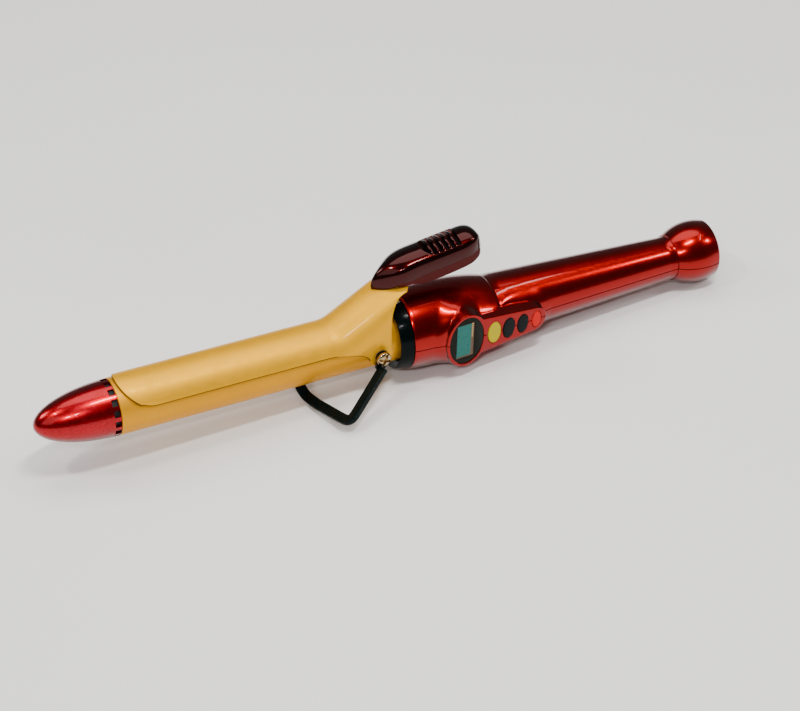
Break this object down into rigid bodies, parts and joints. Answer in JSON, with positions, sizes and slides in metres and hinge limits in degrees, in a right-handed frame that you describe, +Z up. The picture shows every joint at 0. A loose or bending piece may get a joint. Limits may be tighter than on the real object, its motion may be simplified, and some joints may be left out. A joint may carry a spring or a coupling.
{
  "type": "curling iron",
  "caption": "Spring-clamp curling iron with a folding wire rest, a ribbed thumb lever and a display panel with buttons in its handle.",
  "frame": {"origin": "middle of the iron's bounding box at table height, standing on its rest and its bell", "axes": "+X from the tip to the cord end, -Y towards the display panel, +Z up, thumb lever on top"},
  "size_m": [0.3332, 0.0664, 0.0652],
  "materials": {
    "red_lacquer": "candy red metallic lacquer under gloss",
    "gold_coating": "gold ceramic coating, satin gloss",
    "cast_aluminium": "as cast",
    "white_ceramic": "plain",
    "brass": "plain",
    "plain_steel": "zinc plated",
    "bright_screw": "bright nickel plate",
    "white_sleeve": "silicone sleeve",
    "black_gloss": "gloss",
    "black_plastic": "matt",
    "smoked_window": "smoked clear",
    "bronze_frame": "brown, satin",
    "teal_lcd": "teal display glass",
    "board_green": "solder mask",
    "yellow_button": "satin",
    "black_button": "satin",
    "red_button": "satin",
    "maroon_lever": "dark candy red gloss",
    "maroon_base": "satin",
    "black_enamel": "gloss black enamel on steel strip",
    "black_rubber": "plain"
  },
  "bodies": {
    "iron_body": {"barrel_tip": "red_lacquer", "vent_liner": "black_plastic", "barrel_tube": "gold_coating", "heater_shell_upper": "cast_aluminium", "heater_shell_lower": "cast_aluminium", "heater_element": "white_ceramic", "temperature_sensor": "brass", "thermal_fuse": "plain_steel", "heater_leads": "white_sleeve", "barrel_flange": "white_ceramic", "hinge_bushes": "brass", "hinge_screws": "bright_screw", "collar_ring": "black_gloss", "upper_shell": "red_lacquer", "lower_shell": "red_lacquer", "shell_screws": "plain_steel", "display_window": "smoked_window", "display_mask": "black_plastic", "lcd_frame": "bronze_frame", "lcd_glass": "teal_lcd", "circuit_board": "board_green", "board_parts": "black_plastic", "tact_switches": "plain_steel", "contact_fingers": "brass", "supply_leads": "white_sleeve", "rest_washers": "plain_steel"},
    "clamp": {"clamp_plate": "gold_coating", "lever_base": "maroon_base", "lever_cover": "maroon_lever", "lever_screws": "plain_steel", "clamp_spring": "plain_steel"},
    "rest": {"rest_strip": "black_enamel"},
    "power_key": {"button_power": "yellow_button"},
    "up_key": {"button_up": "black_button"},
    "down_key": {"button_down": "black_button"},
    "mode_key": {"button_mode": "red_button"},
    "swivel": {"swivel_gland": "black_rubber", "slip_rings": "brass"}
  },
  "joints": [
    {"name": "clamp_hinge", "type": "hinge", "parent": "iron_body", "child": "clamp", "pos_m": [-0.01027, 0, 0.02126], "axis": [0, 1, 0], "range_deg": [0, 15], "stiffness_Nm_per_rad": 0.5, "springref_deg": -17.19, "deforming": ["clamp_spring"]},
    {"name": "rest_hinge", "type": "hinge", "parent": "iron_body", "child": "rest", "pos_m": [-0.01027, 0, 0.02126], "axis": [0, 1, 0], "range_deg": [-60, 10]},
    {"name": "power_press", "type": "slide", "parent": "iron_body", "child": "power_key", "axis": [-0.0593, 0.9982, 0.0025], "range_m": [0, 0.0007], "stiffness_N_per_m": 400, "springref_m": -0.0006},
    {"name": "up_press", "type": "slide", "parent": "iron_body", "child": "up_key", "axis": [-0.0593, 0.9982, 0.0025], "range_m": [0, 0.0007], "stiffness_N_per_m": 400, "springref_m": -0.0006},
    {"name": "down_press", "type": "slide", "parent": "iron_body", "child": "down_key", "axis": [-0.0593, 0.9982, 0.0025], "range_m": [0, 0.0007], "stiffness_N_per_m": 400, "springref_m": -0.0006},
    {"name": "mode_press", "type": "slide", "parent": "iron_body", "child": "mode_key", "axis": [-0.0593, 0.9982, 0.0025], "range_m": [0, 0.0007], "stiffness_N_per_m": 400, "springref_m": -0.0006},
    {"name": "cord_swivel", "type": "hinge", "parent": "iron_body", "child": "swivel", "pos_m": [0.1581, 0, 0.01463], "axis": [0.9991, 0, -0.0423], "continuous": true}
  ]
}
